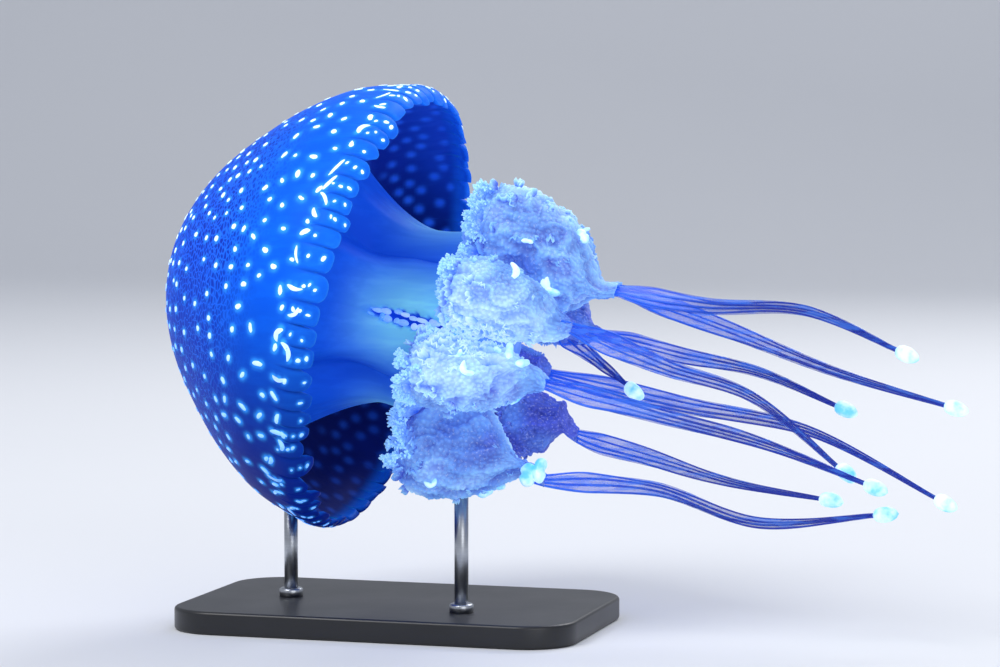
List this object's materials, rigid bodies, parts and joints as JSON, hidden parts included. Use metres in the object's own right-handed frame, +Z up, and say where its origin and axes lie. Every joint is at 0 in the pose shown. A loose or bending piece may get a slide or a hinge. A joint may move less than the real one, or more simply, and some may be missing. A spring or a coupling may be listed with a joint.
{
  "type": "spotted jellyfish model on a display stand",
  "caption": "Still life-size model of a white-spotted jellyfish swimming on its side, with frilled arms and club-ended tails, held above a flat base by rods.",
  "frame": {"origin": "centre of the underside of the stand's base", "axes": "+X the way the tails trail, +Y to the side, +Z up"},
  "size_m": [0.3483, 0.1972, 0.2353],
  "materials": {
    "bell_jelly": "wet translucent blue jelly with raised white spots",
    "column_jelly": "wet translucent bright blue jelly",
    "frill_flesh": "soft pale lavender frills",
    "tail_jelly": "clear dark blue strands",
    "club_jelly": "bright pale blue clubs",
    "stand_plinth": "satin black paint",
    "stand_rods": "brushed steel"
  },
  "bodies": {
    "root": {"arm_1": "column_jelly", "arm_2": "column_jelly", "arm_3": "column_jelly", "arm_4": "column_jelly", "arm_5": "column_jelly", "arm_6": "column_jelly", "arm_7": "column_jelly", "arm_8": "column_jelly", "bell": "bell_jelly", "club_1": "club_jelly", "club_2": "club_jelly", "club_3": "club_jelly", "club_4": "club_jelly", "club_5": "club_jelly", "club_6": "club_jelly", "club_7": "club_jelly", "club_8": "club_jelly", "club_short": "club_jelly", "frill_1": "frill_flesh", "frill_2": "frill_flesh", "frill_3": "frill_flesh", "frill_4": "frill_flesh", "frill_5": "frill_flesh", "frill_6": "frill_flesh", "frill_7": "frill_flesh", "frill_8": "frill_flesh", "margin_1": "bell_jelly", "margin_2": "bell_jelly", "margin_3": "bell_jelly", "margin_4": "bell_jelly", "margin_5": "bell_jelly", "margin_6": "bell_jelly", "margin_7": "bell_jelly", "margin_8": "bell_jelly", "oral_disc": "column_jelly", "pillar_1": "column_jelly", "pillar_2": "column_jelly", "pillar_3": "column_jelly", "pillar_4": "column_jelly", "stand_base": "stand_plinth", "stand_rod_arms": "stand_rods", "stand_rod_bell": "stand_rods", "tail_1_lower": "tail_jelly", "tail_1_upper": "tail_jelly", "tail_2_lower": "tail_jelly", "tail_2_upper": "tail_jelly", "tail_3_lower": "tail_jelly", "tail_3_upper": "tail_jelly", "tail_4_lower": "tail_jelly", "tail_4_upper": "tail_jelly", "tail_5_lower": "tail_jelly", "tail_5_upper": "tail_jelly", "tail_6_lower": "tail_jelly", "tail_6_upper": "tail_jelly", "tail_7_lower": "tail_jelly", "tail_7_upper": "tail_jelly", "tail_8_lower": "tail_jelly", "tail_8_upper": "tail_jelly", "tail_short": "tail_jelly"}
  },
  "joints": []
}
